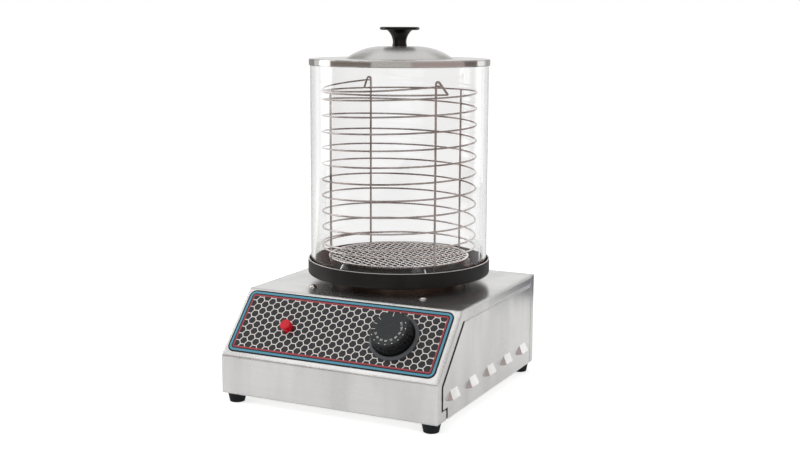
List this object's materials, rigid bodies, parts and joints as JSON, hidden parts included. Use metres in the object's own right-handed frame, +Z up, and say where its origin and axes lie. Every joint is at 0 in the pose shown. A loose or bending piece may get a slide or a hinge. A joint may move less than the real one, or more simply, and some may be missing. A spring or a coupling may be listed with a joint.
{
  "type": "hot dog steamer",
  "caption": "Counter-top steamer: sloped sheet steel base with dial and lamp, round water pan, glass cylinder with lifting lid, wire coil basket and mesh grid.",
  "frame": {"origin": "on the floor, under the middle of the machine's outer box", "axes": "+Z up, +X to the right when facing the control panel, +Y to the back"},
  "size_m": [0.2672, 0.2904, 0.4062],
  "materials": {
    "stainless": "brushed lengthwise",
    "spun_steel": "spun, fine rings",
    "tinted_steel": "heat-tinted",
    "bright_wire": "polished",
    "screw_steel": "bright",
    "cast_aluminium": "as cast",
    "copper": "drawn",
    "black_enamel": "black coating, satin outside",
    "panel_print": "printed, satin",
    "black_plastic": "moulded",
    "dial_plastic": "moulded, printed face",
    "black_bakelite": "polished",
    "red_lens": "clear red",
    "white_ceramic": "glazed",
    "mineral_board": "matt",
    "black_rubber": "matt",
    "clear_glass": "clear"
  },
  "bodies": {
    "base": {"housing_cover": "stainless", "louvred_tray": "stainless", "back_panel": "stainless", "panel_overlay": "panel_print", "dial_bezel": "black_plastic", "thermostat_body": "white_ceramic", "thermostat_screws": "screw_steel", "lamp_lens": "red_lens", "lamp_body": "black_plastic", "lamp_nut": "black_plastic", "lamp_blades": "screw_steel", "water_pan": "black_enamel", "heater_shroud": "tinted_steel", "heater_plate": "cast_aluminium", "heating_element": "tinted_steel", "insulating_board": "mineral_board", "sensing_bulb": "copper", "capillary_tube": "copper", "pan_stud": "screw_steel", "clamp_bar": "stainless", "stud_nut": "screw_steel", "support_rails": "stainless", "dome_screws": "screw_steel", "dome_nuts": "screw_steel", "cord_gland": "black_plastic", "gland_nut": "black_plastic", "terminal_block": "white_ceramic", "terminal_screws": "screw_steel", "back_screws": "screw_steel", "rubber_feet": "black_rubber", "foot_screws": "screw_steel", "foot_nuts": "screw_steel"},
    "dial": {"dial_knob": "dial_plastic", "thermostat_spindle": "screw_steel"},
    "glass": {"glass_cylinder": "clear_glass"},
    "basket": {"basket_coil": "bright_wire", "plain_rods": "bright_wire", "looped_rods": "bright_wire"},
    "bail": {"basket_bail": "bright_wire"},
    "lid": {"lid_shell": "spun_steel", "lid_knob": "black_bakelite", "lid_washer": "screw_steel", "lid_screw": "screw_steel"},
    "grid": {"grid_rim": "bright_wire", "grid_mesh": "bright_wire", "grid_legs": "bright_wire"}
  },
  "joints": [
    {"name": "dial_turn", "type": "hinge", "parent": "base", "child": "dial", "pos_m": [0.0655, -0.11332, 0.087], "axis": [0, -0.7269, 0.6867], "range_deg": [-290, 0]},
    {"name": "glass_lift", "type": "slide", "parent": "base", "child": "glass", "axis": [0, 0, 1], "range_m": [0, 0.25]},
    {"name": "basket_lift", "type": "slide", "parent": "glass", "child": "basket", "axis": [0, 0, 1], "range_m": [0, 0.24]},
    {"name": "lid_lift", "type": "slide", "parent": "basket", "child": "lid", "axis": [0, 0, 1], "range_m": [0, 0.15]},
    {"name": "bail_swing", "type": "hinge", "parent": "basket", "child": "bail", "pos_m": [0.00164, 0.03128, 0.3435], "axis": [-0.8059, 0.5921, 0], "range_deg": [0, 175]},
    {"name": "grid_lift", "type": "slide", "parent": "base", "child": "grid", "axis": [0, 0, 1], "range_m": [0, 0.17]}
  ],
  "couplings": [
    {"joint": "bail_swing", "follows": "lid_lift", "rad_per_m": 10.996}
  ]
}
